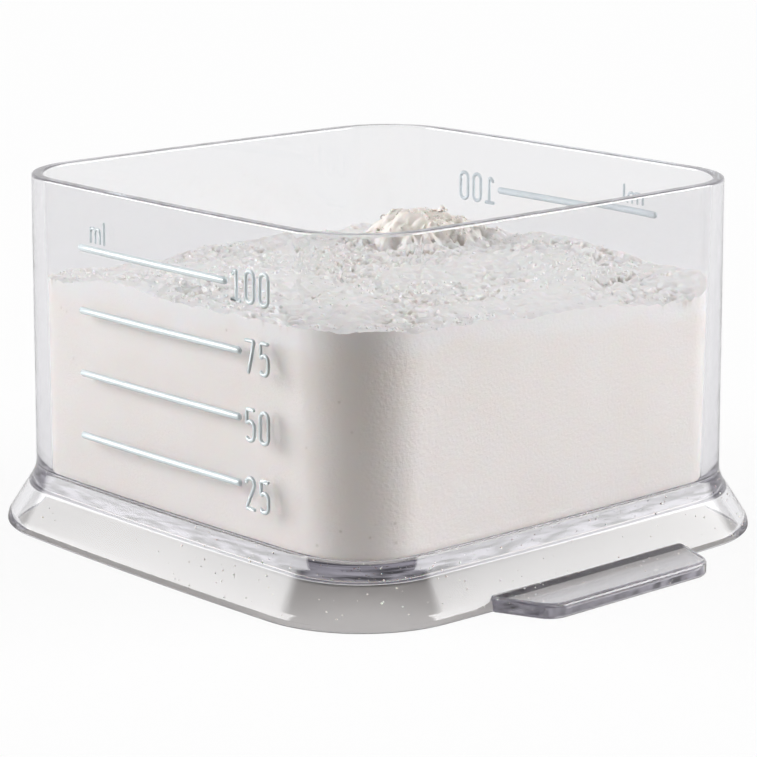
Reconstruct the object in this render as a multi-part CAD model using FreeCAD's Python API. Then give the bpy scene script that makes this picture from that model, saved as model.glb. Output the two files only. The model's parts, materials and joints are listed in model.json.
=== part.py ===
import FreeCAD, Part
import math
import os

from FreeCAD import Vector

# A stacking formula dispenser: a clear square measuring cup on a flared, hollow base skirt
# with a pull tab, raised millilitre scales on two faces, and a load of formula powder.
#
# Millimetres. +Z is up and z = 0 is the plane that the base stands on. The cup's square is
# centred on the Z axis. The front scale is on the -Y face and the tab is on the +X side.

# ---------------------------------------------------------------- driving dimensions

# The cup's outside, measured at the rim.
BODY_WIDTH = 62.8            # across two opposite sides, at the middle of each side
CORNER_RADIUS = 10.0         # upright corners
SIDE_BOW_RADIUS = 650.0      # the sides bulge by a third of a millimetre
DRAFT = 0.51                 # degrees; both wall faces lean so that the moulding leaves its tool
RIM_WALL = 1.35              # wall thickness at the rim, before its edges are rounded
RIM_ROUND = 0.30             # rounding of the rim's two edges

# Floor.
FLOOR_TOP = 5.6              # height of the inside floor
FLOOR_THICKNESS = 1.3
FLOOR_FILLET = 1.2           # inside, where floor meets wall

# Base skirt: a hollow flare that closes the compartment below.
SKIRT_TOP = 7.6              # height where the flare leaves the wall
SKIRT_REACH = 3.5            # how far the flare stands out from the wall
SKIRT_WALL = 1.35
SKIRT_HOLLOW_BLEND = 4.0     # concave radius below the wall
SKIRT_CROWN_BLEND = 2.0      # convex radius above the foot
FOOT_ROUND = 0.40            # outer edge that meets the table
CEILING_FILLET = 1.0         # inside the skirt, where it meets the floor slab

# Pull tab, flat on the base plane.
TAB_REACH = 6.4              # beyond the skirt's edge
TAB_ROOT_WIDTH = 30.0        # at the skirt's edge
TAB_TIP_WIDTH = 24.6         # at the tip, before its corners are rounded
TAB_CORNER_RADIUS = 3.0
TAB_THICKNESS = 1.75
TAB_EDGE_ROUND = 0.45

# Raised scale, the same on the front and the back face.
LEVEL_STEP_ML = 25
LEVEL_COUNT = 4
HEADROOM = 6.816             # from the highest line up to the rim
LINE_START = -15.1           # left end of every line, from the middle of the face
LINE_TO_NUMBER = 0.60        # from a line's right end to its number's first figure
LINE_BEAD_RADIUS = 0.42
LINE_SINK = 0.12             # depth of the bead's axis below the wall face
FIGURE_HEIGHT = 3.80         # over the strokes
FIGURE_WIDTH = 1.72          # over the strokes
FIGURE_PITCH = 2.25          # from one figure to the next
FIGURE_STROKE_RADIUS = 0.22
FIGURE_SINK = 0.02
LAST_FIGURE_X = 17.2         # middle of the right-hand figure of every number
FIRST_NUMBER_DROP = 0.80     # the lowest number's middle hangs this far below its line
LAST_NUMBER_DROP = 0.10      # and the highest number's this far

# The unit beside the highest line.
UNIT_X = -11.9               # middle of the letter m
UNIT_RISE = 0.80             # from the line's middle to the underside of the letters
UNIT_M_WIDTH = 2.0
UNIT_M_HEIGHT = 1.85
UNIT_L_HEIGHT = 2.65
UNIT_LETTER_GAP = 0.85       # from the m's last stroke to the l, middle to middle
UNIT_STROKE_RADIUS = 0.17

# Powder load.
POWDER_FILL_ML = 82          # where the levelled powder meets the walls
POWDER_WALL_CLEARANCE = 0.20
POWDER_FLOOR_CLEARANCE = 0.05
MOUND_X = -13.0
MOUND_Y = 18.0
MOUND_RADIUS = 10.5          # of the mound's foot
MOUND_HEIGHT = 3.4

# ---------------------------------------------------------------- worked-out values

Z_AXIS = Vector(0, 0, 1)
ORIGIN = Vector(0, 0, 0)
HALF_WIDTH = BODY_WIDTH / 2
LEAN = math.tan(math.radians(DRAFT))
FLOOR_UNDERSIDE = FLOOR_TOP - FLOOR_THICKNESS
MM3_PER_ML = 1000.0
CUT_PAST = 1.0               # how far a cutting solid runs past the face that it cuts
SAME_PLACE = 1e-6
SAME_EDGE = 0.01

# The outline is a square with bowed sides: four corner arcs and four wide side arcs, all
# tangent. The side arcs' centres lie on the X and Y axes, beyond the opposite side.
SIDE_CENTRE = SIDE_BOW_RADIUS - HALF_WIDTH
INNER_RADIUS = SIDE_BOW_RADIUS - CORNER_RADIUS
CORNER_CENTRE = (math.sqrt(2 * INNER_RADIUS ** 2 - SIDE_CENTRE ** 2) - SIDE_CENTRE) / 2
SIDE_HALF_ANGLE = math.asin(CORNER_CENTRE / INNER_RADIUS)


def filled_volume(depth, room_above):
    """Volume of a filling this deep whose surface is room_above below the rim.

    The floor's fillet is left out.
    """
    side_length = INNER_RADIUS * 2 * SIDE_HALF_ANGLE
    segment = INNER_RADIUS ** 2 * (2 * SIDE_HALF_ANGLE - math.sin(2 * SIDE_HALF_ANGLE)) / 2
    core_area = 4 * CORNER_CENTRE ** 2 + 4 * segment
    reach = CORNER_RADIUS - RIM_WALL - (room_above + depth / 2) * LEAN
    area = core_area + 4 * side_length * reach + math.pi * reach ** 2
    return area * depth


def depth_of(millilitres, room_above):
    """How deep this much stands; room_above(depth) is the room left below the rim."""
    low = 0.0
    high = 10 * BODY_WIDTH
    while high - low > SAME_PLACE:
        middle = (low + high) / 2
        if filled_volume(middle, room_above(middle)) < millilitres * MM3_PER_ML:
            low = middle
        else:
            high = middle
    return low


# The cup is as high as it must be to hold its highest level with the headroom over it.
BODY_HEIGHT = FLOOR_TOP + depth_of(LEVEL_STEP_ML * LEVEL_COUNT, lambda depth: HEADROOM) + HEADROOM


def level_height(millilitres):
    """Height at which the cup holds this much."""
    return FLOOR_TOP + depth_of(millilitres, lambda depth: BODY_HEIGHT - FLOOR_TOP - depth)


def outer_face(z):
    """How far the wall's outer face stands out from the rim's outline at height z."""
    return (BODY_HEIGHT - z) * LEAN


def inner_face(z):
    """The same for the wall's inner face, which leans the other way."""
    return -RIM_WALL - (BODY_HEIGHT - z) * LEAN


SKIRT_EDGE = outer_face(SKIRT_TOP) + SKIRT_REACH


# ---------------------------------------------------------------- building blocks

def arc_between(centre, radius, start_degrees, end_degrees):
    """Arc in the section plane, as its start, middle and end points."""
    points = []
    for degrees in (start_degrees, (start_degrees + end_degrees) / 2, end_degrees):
        angle = math.radians(degrees)
        points.append((centre[0] + radius * math.cos(angle), centre[1] + radius * math.sin(angle)))
    return points


def block(side_profile):
    """Solid with flat ends whose side follows side_profile all round the outline.

    side_profile is a list of steps from the bottom to the top. Each step is a list of points
    (offset from the rim's outline, z): two points for a line, three for an arc.
    """
    z_low = side_profile[0][0][1]
    z_high = side_profile[-1][-1][1]
    stretches = (
        (CORNER_RADIUS, Vector(CORNER_CENTRE, -CORNER_CENTRE, 0),
         math.degrees(SIDE_HALF_ANGLE) - 90, 90 - 2 * math.degrees(SIDE_HALF_ANGLE)),
        (SIDE_BOW_RADIUS, Vector(0, SIDE_CENTRE, 0),
         -90 - math.degrees(SIDE_HALF_ANGLE), 2 * math.degrees(SIDE_HALF_ANGLE)),
    )
    solids = [middle_block(z_low, z_high)]
    for radius, centre, start, sweep in stretches:
        face = section_face(side_profile, radius, radius - CORNER_RADIUS)
        stretch = face.revolve(ORIGIN, Z_AXIS, sweep)
        stretch.rotate(ORIGIN, Z_AXIS, start)
        stretch.translate(centre)
        for quarter in range(4):
            turned = stretch.copy()
            turned.rotate(ORIGIN, Z_AXIS, 90 * quarter)
            solids.append(turned)
    return solids[0].multiFuse(solids[1:]).removeSplitter()


def section_face(side_profile, radius, inner_radius):
    """Face between side_profile and the stretch's inner radius, ready to be revolved."""
    edges = []
    for step in side_profile:
        points = [Vector(radius + offset, 0, z) for offset, z in step]
        if len(points) == 3:
            edges.append(Part.Arc(*points).toShape())
        else:
            edges.append(Part.LineSegment(*points).toShape())
    bottom = Vector(radius + side_profile[0][0][0], 0, side_profile[0][0][1])
    top = Vector(radius + side_profile[-1][-1][0], 0, side_profile[-1][-1][1])
    inner_bottom = Vector(inner_radius, 0, bottom.z)
    inner_top = Vector(inner_radius, 0, top.z)
    edges.append(Part.LineSegment(top, inner_top).toShape())
    edges.append(Part.LineSegment(inner_top, inner_bottom).toShape())
    edges.append(Part.LineSegment(inner_bottom, bottom).toShape())
    return Part.Face(Part.Wire(edges))


def middle_block(z_low, z_high):
    """The block's core, between the four corner centres."""
    edges = []
    for quarter in range(4):
        arc = Part.Arc(Vector(-CORNER_CENTRE, -CORNER_CENTRE, z_low),
                       Vector(0, SIDE_CENTRE - INNER_RADIUS, z_low),
                       Vector(CORNER_CENTRE, -CORNER_CENTRE, z_low)).toShape()
        arc.rotate(ORIGIN, Z_AXIS, 90 * quarter)
        edges.append(arc)
    return Part.Face(Part.Wire(edges)).extrude(Vector(0, 0, z_high - z_low))


# ---------------------------------------------------------------- the clear moulding

def skirt_slope():
    """Angle of the flare's straight stretch from upright, in degrees.

    The stretch is tangent to the concave blend above it and the convex blend below it.
    """
    blends = SKIRT_HOLLOW_BLEND + SKIRT_CROWN_BLEND
    drop = SKIRT_TOP - FOOT_ROUND
    spare = blends - SKIRT_REACH
    return math.degrees(math.asin(blends / math.hypot(drop, spare)) - math.atan2(spare, drop))


def skirt_profile(inset):
    """Outer face of the skirt from foot to wall, or its parallel at a depth inside it."""
    slope = skirt_slope()
    crown_centre = (SKIRT_EDGE - SKIRT_CROWN_BLEND, FOOT_ROUND)
    hollow_centre = (outer_face(SKIRT_TOP) + SKIRT_HOLLOW_BLEND, SKIRT_TOP)
    crown = arc_between(crown_centre, SKIRT_CROWN_BLEND - inset, 0, slope)
    hollow = arc_between(hollow_centre, SKIRT_HOLLOW_BLEND + inset, 180 + slope, 180)
    return crown, hollow


def outside_block():
    crown, hollow = skirt_profile(0)
    foot = arc_between((SKIRT_EDGE - FOOT_ROUND, FOOT_ROUND), FOOT_ROUND, -90, 0)
    rim_side = (outer_face(BODY_HEIGHT - RIM_ROUND), BODY_HEIGHT - RIM_ROUND)
    rim = arc_between((rim_side[0] - RIM_ROUND, rim_side[1]), RIM_ROUND, 0, 90)
    return block([foot, crown, [crown[-1], hollow[0]], hollow, [hollow[-1], rim_side], rim])


def cavity_block():
    """What the cup holds, from the floor to just above the rim."""
    fillet_z = FLOOR_TOP + FLOOR_FILLET
    fillet = arc_between((inner_face(fillet_z) - FLOOR_FILLET, fillet_z), FLOOR_FILLET, -90, 0)
    rim_z = BODY_HEIGHT - RIM_ROUND
    rim = arc_between((inner_face(rim_z) + RIM_ROUND, rim_z), RIM_ROUND, 180, 90)
    above = (rim[-1][0], BODY_HEIGHT + CUT_PAST)
    return block([fillet, [fillet[-1], rim[0]], rim, [rim[-1], above]])


def hollow_block():
    """The space under the floor, open at the base plane."""
    crown, hollow = skirt_profile(SKIRT_WALL)
    slope = math.radians(skirt_slope())
    # The fillet is tangent to the flare's slope and to the ceiling.
    reach = CEILING_FILLET * math.tan((math.pi / 2 - slope) / 2)
    meet_offset = crown[-1][0] - (FLOOR_UNDERSIDE - crown[-1][1]) * math.tan(slope)
    centre = (meet_offset - reach, FLOOR_UNDERSIDE - CEILING_FILLET)
    ceiling = arc_between(centre, CEILING_FILLET, math.degrees(slope), 90)
    below = [(crown[0][0], -CUT_PAST), crown[0]]
    return block([below, crown, [crown[-1], ceiling[0]], ceiling])


def tab_block():
    """Flat plate with rounded tip corners, running back into the skirt's foot."""
    tip_x = HALF_WIDTH + SKIRT_EDGE + TAB_REACH
    root_x = HALF_WIDTH + SKIRT_EDGE - SKIRT_WALL
    half_root = TAB_ROOT_WIDTH / 2
    half_tip = TAB_TIP_WIDTH / 2
    outline = [(root_x, -half_root), (HALF_WIDTH + SKIRT_EDGE, -half_root), (tip_x, -half_tip),
               (tip_x, half_tip), (HALF_WIDTH + SKIRT_EDGE, half_root), (root_x, half_root)]
    corners = [Vector(x, y, 0) for x, y in outline]
    plate = Part.Face(Part.makePolygon(corners + corners[:1])).extrude(Vector(0, 0, TAB_THICKNESS))
    uprights = []
    for edge in plate.Edges:
        box = edge.BoundBox
        if box.ZLength > TAB_THICKNESS / 2 and abs(box.XMax - tip_x) < SAME_EDGE:
            uprights.append(edge)
    plate = plate.makeFillet(TAB_CORNER_RADIUS, uprights)
    border = []
    for edge in plate.Edges:
        box = edge.BoundBox
        if box.ZLength < SAME_EDGE and box.XMin > HALF_WIDTH + SKIRT_EDGE - SAME_EDGE:
            border.append(edge)
    return plate.makeFillet(TAB_EDGE_ROUND, border)


def make_cup():
    hollow = hollow_block()
    shell = OUTSIDE.cut(cavity_block()).cut(hollow)
    tab = tab_block().cut(hollow)
    return shell.fuse(tab).removeSplitter()


# ---------------------------------------------------------------- the raised scales

def on_face(x, z, sink):
    """Point at x along the front face, at height z, sunk below the wall's outer face."""
    angle = x / SIDE_BOW_RADIUS
    radius = SIDE_BOW_RADIUS + outer_face(z) - sink
    return Vector(radius * math.sin(angle), SIDE_CENTRE - radius * math.cos(angle), z)


def tube(points, radius):
    """Round bead through the points, with round ends and joints."""
    parts = [Part.makeSphere(radius, point) for point in points]
    for start, end in zip(points[:-1], points[1:]):
        if start.distanceToPoint(end) > SAME_PLACE:
            run = end.sub(start)
            parts.append(Part.makeCylinder(radius, run.Length, start, run))
    return parts


def arc_points(centre_x, centre_z, radius, start_degrees, end_degrees, steps=6):
    points = []
    for step in range(steps + 1):
        angle = math.radians(start_degrees + (end_degrees - start_degrees) * step / steps)
        points.append((centre_x + radius * math.cos(angle), centre_z + radius * math.sin(angle)))
    return points


def figure_strokes(figure):
    """Middle lines of a figure, from its lowest stroke at z = 0, centred on x = 0."""
    half = FIGURE_WIDTH / 2 - FIGURE_STROKE_RADIUS
    top = FIGURE_HEIGHT - 2 * FIGURE_STROKE_RADIUS
    if figure == "0":
        upper = arc_points(0, top - half, half, 0, 180)
        lower = arc_points(0, half, half, 180, 360)
        return [upper + lower + upper[:1]]
    if figure == "1":
        stem = 0.15 * half
        return [[(-0.8 * half, 0.82 * top), (stem, top), (stem, 0)], [(-half, 0), (half, 0)]]
    if figure == "2":
        return [arc_points(0, top - half, half, 165, -30) + [(-half, 0), (half, 0)]]
    if figure == "5":
        shoulder = 0.62 * top - half
        bowl = arc_points(0, shoulder, half, 150, 0) + arc_points(0, half, half, 0, -140)
        return [[(0.8 * half, top), (bowl[0][0], top)] + bowl]
    if figure == "7":
        return [[(-half, top), (half, top), (-0.35 * half, 0)]]
    raise ValueError(figure)


def unit_strokes():
    """Middle lines of the letters m and l, from their lowest stroke at z = 0."""
    half = UNIT_M_WIDTH / 2 - UNIT_STROKE_RADIUS
    m_top = UNIT_M_HEIGHT - 2 * UNIT_STROKE_RADIUS
    l_top = UNIT_L_HEIGHT - 2 * UNIT_STROKE_RADIUS
    arch = half / 2
    strokes = [[(-half, 0), (-half, m_top)]]
    for middle in (-arch, arch):
        strokes.append(arc_points(middle, m_top - arch, arch, 180, 0) + [(middle + arch, 0)])
    strokes.append([(half + UNIT_LETTER_GAP, 0), (half + UNIT_LETTER_GAP, l_top)])
    return strokes


def raised(strokes, x, z, radius, sink):
    """Beads that follow the strokes on the front face, cut off flush with the wall."""
    parts = []
    for stroke in strokes:
        points = [on_face(x + stroke_x, z + stroke_z, sink) for stroke_x, stroke_z in stroke]
        parts.extend(tube(points, radius))
    bead = parts[0].multiFuse(parts[1:]) if len(parts) > 1 else parts[0]
    return bead.cut(OUTSIDE).removeSplitter()


def make_line(level):
    figures = len(str(level * LEVEL_STEP_ML))
    first_figure_x = LAST_FIGURE_X - (figures - 1) * FIGURE_PITCH
    end = first_figure_x - FIGURE_WIDTH / 2 - LINE_TO_NUMBER
    z = level_height(level * LEVEL_STEP_ML)
    cap_centres = (LINE_START + LINE_BEAD_RADIUS, end - LINE_BEAD_RADIUS)
    start, stop = [math.degrees(x / SIDE_BOW_RADIUS) for x in cap_centres]
    radius = SIDE_BOW_RADIUS + outer_face(z) - LINE_SINK
    ring = Part.Circle(Vector(radius, 0, z), Vector(0, 1, 0), LINE_BEAD_RADIUS)
    bead = Part.Face(Part.Wire(ring.toShape())).revolve(ORIGIN, Z_AXIS, stop - start)
    bead.rotate(ORIGIN, Z_AXIS, start - 90)
    bead.translate(Vector(0, SIDE_CENTRE, 0))
    caps = [Part.makeSphere(LINE_BEAD_RADIUS, on_face(x, z, LINE_SINK)) for x in cap_centres]
    return bead.multiFuse(caps).cut(OUTSIDE).removeSplitter()


def make_number(level):
    number = str(level * LEVEL_STEP_ML)
    share = (level - 1) / (LEVEL_COUNT - 1)
    drop = FIRST_NUMBER_DROP + (LAST_NUMBER_DROP - FIRST_NUMBER_DROP) * share
    bottom = level_height(level * LEVEL_STEP_ML) - drop - FIGURE_HEIGHT / 2
    figures = []
    for place, figure in enumerate(reversed(number)):
        figures.append(raised(figure_strokes(figure), LAST_FIGURE_X - place * FIGURE_PITCH,
                              bottom + FIGURE_STROKE_RADIUS, FIGURE_STROKE_RADIUS, FIGURE_SINK))
    return Part.makeCompound(figures)


def make_unit():
    z = level_height(LEVEL_COUNT * LEVEL_STEP_ML) + UNIT_RISE + UNIT_STROKE_RADIUS
    return raised(unit_strokes(), UNIT_X, z, UNIT_STROKE_RADIUS, FIGURE_SINK)


# ---------------------------------------------------------------- the powder load

def make_powder():
    """Powder levelled to the fill line, with the mound that the last scoop left."""
    top = level_height(POWDER_FILL_ML)
    bottom = FLOOR_TOP + POWDER_FLOOR_CLEARANCE
    fillet_z = bottom + FLOOR_FILLET
    side = inner_face(fillet_z) - POWDER_WALL_CLEARANCE
    fillet = arc_between((side - FLOOR_FILLET, fillet_z), FLOOR_FILLET, -90, 0)
    side_top = (inner_face(top) - POWDER_WALL_CLEARANCE, top)
    load = block([fillet, [fillet[-1], side_top]])
    # The mound is the cap of a sphere that the levelled surface cuts off.
    ball_radius = (MOUND_RADIUS ** 2 + MOUND_HEIGHT ** 2) / (2 * MOUND_HEIGHT)
    ball = Part.makeSphere(ball_radius, Vector(MOUND_X, MOUND_Y, top + MOUND_HEIGHT - ball_radius))
    slab = Part.makeBox(BODY_WIDTH, BODY_WIDTH, MOUND_HEIGHT + 2 * CUT_PAST,
                        Vector(-HALF_WIDTH, -HALF_WIDTH, top - CUT_PAST))
    return load.fuse(ball.common(slab)).removeSplitter()


# ---------------------------------------------------------------- write the pieces

def export(name, shape):
    shape.exportStep("parts/" + name + ".step")
    print(name, len(shape.Solids), "solids", round(shape.Volume, 2), "mm3", shape.isValid())


def export_on_both_faces(name, shape):
    export(name + "_front", shape)
    turned = shape.copy()
    turned.rotate(ORIGIN, Z_AXIS, 180)
    export(name + "_back", turned)


os.makedirs("parts", exist_ok=True)
OUTSIDE = outside_block()
export("cup", make_cup())
for level in range(1, LEVEL_COUNT + 1):
    millilitres = str(level * LEVEL_STEP_ML)
    export_on_both_faces("line_" + millilitres, make_line(level))
    export_on_both_faces("number_" + millilitres, make_number(level))
export_on_both_faces("unit_ml", make_unit())
export("powder", make_powder())
for level in range(1, LEVEL_COUNT + 1):
    print(level * LEVEL_STEP_ML, "ml at", round(level_height(level * LEVEL_STEP_ML), 2), "mm")
print("rim at", round(BODY_HEIGHT, 3), "mm")
print("skirt edge to edge", round(BODY_WIDTH + 2 * SKIRT_EDGE, 2), "mm")
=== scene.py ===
# %% [markdown]
# A formula dispenser compartment: a clear moulded cup on a flared base, with a raised scale on
# two faces and a load of milk powder. The CAD model gives every size and place. This file
# dresses it: finer meshes, real plastic, real powder, a studio and a camera.

# %% Load the frame
import json
import math

import bmesh
import bpy
import numpy as np
from mathutils import Matrix, Vector, noise

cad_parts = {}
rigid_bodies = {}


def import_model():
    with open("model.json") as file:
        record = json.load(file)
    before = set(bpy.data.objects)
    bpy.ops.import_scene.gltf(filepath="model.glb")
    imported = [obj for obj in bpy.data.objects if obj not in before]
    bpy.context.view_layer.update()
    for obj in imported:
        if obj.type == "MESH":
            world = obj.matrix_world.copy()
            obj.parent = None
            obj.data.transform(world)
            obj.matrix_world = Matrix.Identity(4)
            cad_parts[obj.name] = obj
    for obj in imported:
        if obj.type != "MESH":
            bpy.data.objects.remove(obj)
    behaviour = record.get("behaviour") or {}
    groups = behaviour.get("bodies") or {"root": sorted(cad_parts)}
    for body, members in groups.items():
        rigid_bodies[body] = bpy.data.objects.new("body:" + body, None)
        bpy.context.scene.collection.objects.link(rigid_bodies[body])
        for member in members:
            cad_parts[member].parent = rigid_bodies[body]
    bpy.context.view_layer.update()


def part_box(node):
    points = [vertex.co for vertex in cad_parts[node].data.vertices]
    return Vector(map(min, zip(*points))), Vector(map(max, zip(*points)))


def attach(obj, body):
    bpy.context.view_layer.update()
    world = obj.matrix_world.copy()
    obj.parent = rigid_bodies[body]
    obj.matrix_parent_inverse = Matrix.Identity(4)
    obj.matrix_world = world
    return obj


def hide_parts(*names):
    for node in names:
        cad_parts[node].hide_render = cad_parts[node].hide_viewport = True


for leftover in list(bpy.data.objects):
    bpy.data.objects.remove(leftover)
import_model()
MM = 0.001
scene = bpy.context.scene

# %% [markdown]
# The camera comes first, because it decides how much detail each piece needs. It looks at the
# scale and at the tab's side from just above the powder. A short lens close by would make the
# near corner loom. A long lens far away keeps the lines of the two faces nearly parallel.

# %% Place the camera
CAMERA_AZIMUTH = math.radians(47.945)      # from the front scale's side towards the tab's side
CAMERA_ELEVATION = math.radians(13.03)
CAMERA_DISTANCE = 337.6 * MM
CAMERA_LENS = 137.65
LOOK_AT_HEIGHT = 18.05 * MM
AIM_RIGHT = 0.25 * MM
AIM_DOWN = 0.97 * MM

towards_camera = Vector((math.sin(CAMERA_AZIMUTH) * math.cos(CAMERA_ELEVATION),
                         -math.cos(CAMERA_AZIMUTH) * math.cos(CAMERA_ELEVATION),
                         math.sin(CAMERA_ELEVATION)))
camera_right = Vector((0, 0, 1)).cross(towards_camera).normalized()
camera_up = towards_camera.cross(camera_right)
look_at = Vector((0, 0, LOOK_AT_HEIGHT))
camera_place = look_at + towards_camera * CAMERA_DISTANCE
aim = look_at + camera_right * AIM_RIGHT - camera_up * AIM_DOWN

camera_data = bpy.data.cameras.new("camera")
camera_data.lens = CAMERA_LENS
camera_data.sensor_width = 36
camera_data.clip_start = 0.01
camera = bpy.data.objects.new("camera", camera_data)
camera.location = camera_place
camera.rotation_euler = (aim - camera_place).to_track_quat("-Z", "Y").to_euler()
scene.collection.objects.link(camera)
scene.camera = camera
print("camera at", [round(v / MM, 1) for v in camera_place], "mm")

# %% [markdown]
# Materials are built from nodes. A few short helpers keep that readable: one adds a node with
# its settings, one joins two sockets, one starts a material around its Principled BSDF, and two
# write a piece of arithmetic or a soft step in one line.


# %% Helpers for node trees
def add_node(tree, kind, settings=None, values=None):
    """New node with its settings (attributes) and the values of its unlinked inputs."""
    node = tree.nodes.new(kind)
    for name, value in (settings or {}).items():
        setattr(node, name, value)
    for name, value in (values or {}).items():
        node.inputs[name].default_value = value
    return node


def join(tree, from_node, from_socket, to_node, to_socket):
    tree.links.new(from_node.outputs[from_socket], to_node.inputs[to_socket])


def new_material(name):
    """Material with only a Principled BSDF and its output; returns the tree and both nodes."""
    material = bpy.data.materials.new(name)
    material.use_nodes = True
    tree = material.node_tree
    tree.nodes.clear()
    shader = add_node(tree, "ShaderNodeBsdfPrincipled")
    output = add_node(tree, "ShaderNodeOutputMaterial")
    join(tree, shader, "BSDF", output, "Surface")
    return material, tree, shader, output


def set_values(node, values):
    for name, value in values.items():
        node.inputs[name].default_value = value


def add_math(tree, operation, first, second=None):
    """Math node whose inputs are sockets or numbers; returns its output socket."""
    node = add_node(tree, "ShaderNodeMath", {"operation": operation})
    for index, value in enumerate((first, second)):
        if isinstance(value, bpy.types.NodeSocket):
            tree.links.new(value, node.inputs[index])
        elif value is not None:
            node.inputs[index].default_value = value
    return node.outputs["Value"]


def add_edge(tree, value, start, end):
    """0 below start, 1 above end, smooth between."""
    shape = add_node(tree, "ShaderNodeMapRange", {"interpolation_type": "SMOOTHSTEP"},
                     {"From Min": start, "From Max": end})
    tree.links.new(value, shape.inputs["Value"])
    return shape.outputs["Result"]


# %% [markdown]
# No moulded plastic is perfectly flat. The surface follows the tool, with a very slow ripple
# where the melt cooled unevenly, and it picks up hairline handling marks. Both are too small to
# model, so they are one shared node group that gives a normal and a roughness.


# %% The moulded surface group
def make_moulded_surface():
    group = bpy.data.node_groups.new("moulded surface", "ShaderNodeTree")
    face = group.interface
    for name, kind, start in (("Ripple Size", "NodeSocketFloat", 90.0),
                              ("Ripple Strength", "NodeSocketFloat", 0.05),
                              ("Smoothness", "NodeSocketFloat", 0.02),
                              ("Wear", "NodeSocketFloat", 0.03)):
        socket = face.new_socket(name=name, in_out="INPUT", socket_type=kind)
        socket.default_value = start
    face.new_socket(name="Normal", in_out="OUTPUT", socket_type="NodeSocketVector")
    face.new_socket(name="Roughness", in_out="OUTPUT", socket_type="NodeSocketFloat")
    given = add_node(group, "NodeGroupInput")
    result = add_node(group, "NodeGroupOutput")
    place = add_node(group, "ShaderNodeTexCoord")
    ripple = add_node(group, "ShaderNodeTexNoise", values={"Detail": 1.0})
    join(group, place, "Object", ripple, "Vector")
    join(group, given, "Ripple Size", ripple, "Scale")
    bump = add_node(group, "ShaderNodeBump", values={"Distance": 0.0004})
    join(group, given, "Ripple Strength", bump, "Strength")
    join(group, ripple, "Fac", bump, "Height")
    join(group, bump, "Normal", result, "Normal")
    marks = add_node(group, "ShaderNodeTexNoise", values={"Scale": 700.0, "Detail": 4.0})
    join(group, place, "Object", marks, "Vector")
    spread = add_node(group, "ShaderNodeMapRange",
                      values={"From Min": 0.45, "From Max": 0.75})
    join(group, marks, "Fac", spread, "Value")
    scaled = add_node(group, "ShaderNodeMath", {"operation": "MULTIPLY_ADD"})
    join(group, spread, "Result", scaled, 0)
    join(group, given, "Wear", scaled, 1)
    join(group, given, "Smoothness", scaled, 2)
    join(group, scaled, "Value", result, "Roughness")
    return group


moulded_surface = make_moulded_surface()
print("shared group:", moulded_surface.name)

# %% [markdown]
# The cup is clear moulded copolyester. Light goes through it and bends, so the material is a
# transmitting Principled BSDF with that plastic's index of refraction. Its grey comes mostly
# from the depth of plastic that light crosses: a wall looks nearly clear, while the floor and
# the foot, seen edge on, go grey. That is a Volume Absorption node, with a faint tint at the
# surface. Two kinds of light get help, because a path tracer finds them only with great
# patience. Light that reaches the powder through a wall is let straight through with a small
# loss, since its bending doesn't show. Light that is caught in the floor slab and turns back
# again and again would end in black, so after a few turns it gets an uneven grey instead.


# %% Clear plastic
TURNS_BEFORE_LOST = 4
TRAPPED_TONE = (0.60, 0.59, 0.62, 1)
TRAPPED_LEAST = 0.2         # the darkest streak's share of that tone


def let_light_through(tree, shader, output, tint):
    """Shadow rays and diffuse rays cross this surface unbent, with a small loss."""
    kind = add_node(tree, "ShaderNodeLightPath")
    passing = add_node(tree, "ShaderNodeBsdfTransparent", values={"Color": tint})
    last = shader.outputs["BSDF"]
    for ray in ("Is Shadow Ray", "Is Diffuse Ray"):
        blend = add_node(tree, "ShaderNodeMixShader")
        tree.links.new(kind.outputs[ray], blend.inputs["Fac"])
        tree.links.new(last, blend.inputs[1])
        tree.links.new(passing.outputs["BSDF"], blend.inputs[2])
        last = blend.outputs["Shader"]
    tree.links.new(last, output.inputs["Surface"])


def give_trapped_light_a_tone(tree, shader):
    """Light that has turned back too often gets a tone of its own, in streaks."""
    kind = add_node(tree, "ShaderNodeLightPath")
    lost = add_node(tree, "ShaderNodeMath", {"operation": "COMPARE"},
                    {1: float(TURNS_BEFORE_LOST), 2: 0.5})
    join(tree, kind, "Glossy Depth", lost, 0)
    place = add_node(tree, "ShaderNodeTexCoord")
    streaks = add_node(tree, "ShaderNodeTexNoise", values={"Scale": 400.0, "Detail": 3.0})
    join(tree, place, "Object", streaks, "Vector")
    uneven = add_node(tree, "ShaderNodeMapRange",
                      values={"From Min": 0.38, "From Max": 0.62, "To Min": TRAPPED_LEAST})
    join(tree, streaks, "Fac", uneven, "Value")
    glow = add_node(tree, "ShaderNodeMix", {"data_type": "RGBA"},
                    {6: (0, 0, 0, 1), 7: TRAPPED_TONE})
    tree.links.new(add_math(tree, "MULTIPLY", lost.outputs["Value"], uneven.outputs["Result"]),
                   glow.inputs[0])
    tree.links.new(glow.outputs[2], shader.inputs["Emission Color"])
    shader.inputs["Emission Strength"].default_value = 1.0


def make_clear_plastic():
    material, tree, shader, output = new_material("clear plastic")
    set_values(shader, {"Base Color": (0.93, 0.93, 0.935, 1), "Transmission Weight": 1.0,
                        "IOR": 1.56})
    surface = add_node(tree, "ShaderNodeGroup", {"node_tree": moulded_surface},
                       {"Ripple Strength": 0.03, "Smoothness": 0.01, "Wear": 0.01})
    join(tree, surface, "Normal", shader, "Normal")
    join(tree, surface, "Roughness", shader, "Roughness")
    depth = add_node(tree, "ShaderNodeVolumeAbsorption",
                     values={"Color": (0.80, 0.79, 0.82, 1), "Density": 150.0})
    join(tree, depth, "Volume", output, "Volume")
    let_light_through(tree, shader, output, (0.975, 0.975, 0.98, 1))
    give_trapped_light_a_tone(tree, shader)
    return material


clear_plastic = make_clear_plastic()
print("cup material:", clear_plastic.name)

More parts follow.
